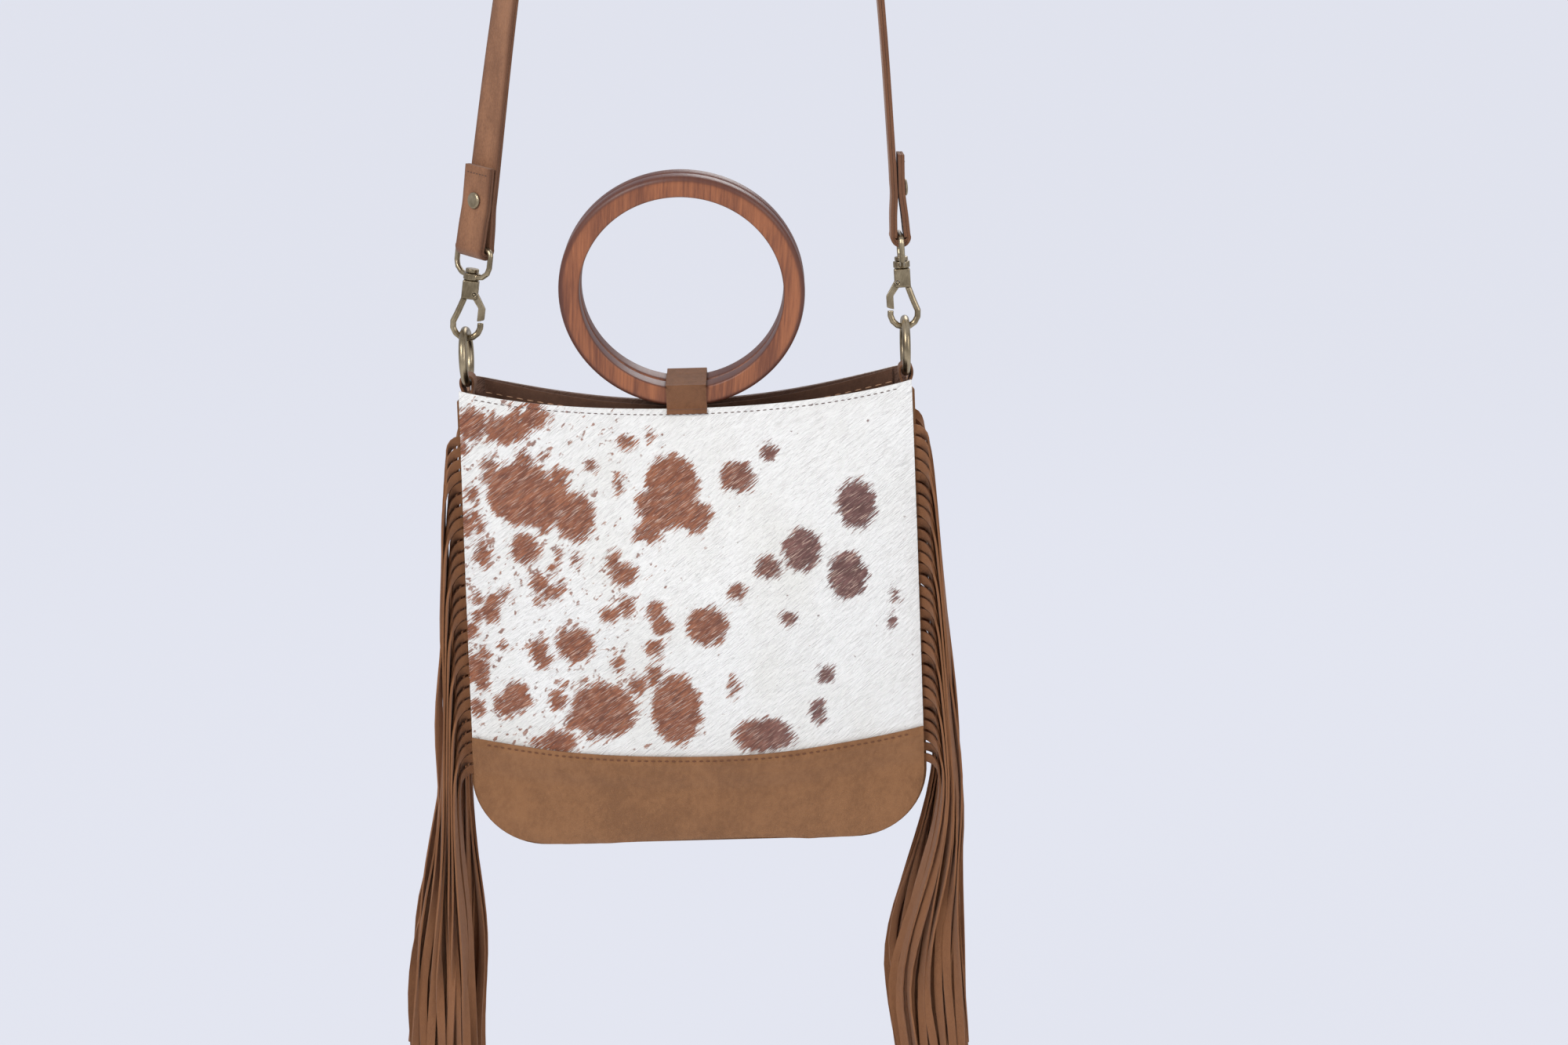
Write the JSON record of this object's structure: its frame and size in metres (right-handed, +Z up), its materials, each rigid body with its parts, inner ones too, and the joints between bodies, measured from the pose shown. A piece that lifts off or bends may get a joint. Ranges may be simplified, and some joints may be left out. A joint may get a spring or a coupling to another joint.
{
  "type": "fringed suede bag",
  "caption": "Hanging cross-body bag of spotted hair-on hide and brown suede, with long side fringes, round wooden ring handles and a strap on brass swivel clips.",
  "frame": {"origin": "underside of the strap at its highest point, where the bag hangs on a peg", "axes": "+Z up along the hanging bag, +X along the bag's width, the front panel faces -Y"},
  "size_m": [0.3773, 0.099, 1.3217],
  "materials": {
    "hide": "short-haired hide, white with brown spots",
    "suede": "brown suede with a raised nap",
    "strap_leather": "matt brown split leather",
    "lining": "plain woven cotton",
    "wood": "lacquered red-brown hardwood",
    "brass": "aged, brushed"
  },
  "bodies": {
    "bag": {"front_panel": "hide", "back_panel": "hide", "front_base": "suede", "back_base": "suede", "gusset": "suede", "front_facing": "suede", "back_facing": "suede", "lining": "lining", "fringe_front_left": "suede", "fringe_front_right": "suede", "fringe_back_left": "suede", "fringe_back_right": "suede", "handle_tab_front": "suede", "handle_tab_back": "suede", "ring_loop_left": "suede", "ring_loop_right": "suede", "clip_eye_left": "brass", "clip_eye_right": "brass", "strap": "strap_leather", "strap_rivet_left": "brass", "strap_rivet_right": "brass"},
    "front_handle": {"handle_ring_front": "wood"},
    "back_handle": {"handle_ring_back": "wood"},
    "left_ring": {"o_ring_left": "brass"},
    "right_ring": {"o_ring_right": "brass"},
    "left_hook": {"clip_hook_left": "brass", "gate_pin_left": "brass"},
    "right_hook": {"clip_hook_right": "brass", "gate_pin_right": "brass"},
    "left_gate": {"clip_gate_left": "brass"},
    "right_gate": {"clip_gate_right": "brass"}
  },
  "joints": [
    {"name": "front_handle_turn", "type": "hinge", "parent": "bag", "child": "front_handle", "pos_m": [-0.034, -0.02467, -0.60072], "axis": [0, 0.9744, 0.225], "continuous": true},
    {"name": "back_handle_turn", "type": "hinge", "parent": "bag", "child": "back_handle", "pos_m": [-0.034, -0.01098, -0.59919], "axis": [0, 0.9681, 0.2504], "continuous": true},
    {"name": "left_ring_turn", "type": "hinge", "parent": "bag", "child": "left_ring", "pos_m": [-0.171, 0, -0.6415], "axis": [1, 0, 0], "continuous": true},
    {"name": "right_ring_turn", "type": "hinge", "parent": "bag", "child": "right_ring", "pos_m": [0.103, 0, -0.6415], "axis": [1, 0, 0], "continuous": true},
    {"name": "left_swivel", "type": "hinge", "parent": "bag", "child": "left_hook", "pos_m": [-0.16489, 0, -0.59336], "axis": [0.165, 0, 0.9863], "range_deg": [-20, 20]},
    {"name": "right_swivel", "type": "hinge", "parent": "bag", "child": "right_hook", "pos_m": [0.10139, 0, -0.59288], "axis": [-0.0436, 0, 0.999], "range_deg": [-20, 20]},
    {"name": "left_gate_open", "type": "hinge", "parent": "left_hook", "child": "left_gate", "pos_m": [-0.16334, 0, -0.60224], "axis": [0, 1, 0], "range_deg": [0, 20], "stiffness_Nm_per_rad": 0.02, "springref_deg": -17.19},
    {"name": "right_gate_open", "type": "hinge", "parent": "right_hook", "child": "right_gate", "pos_m": [0.09876, 0, -0.60151], "axis": [0, -1, 0], "range_deg": [0, 20], "stiffness_Nm_per_rad": 0.02, "springref_deg": -17.19}
  ]
}
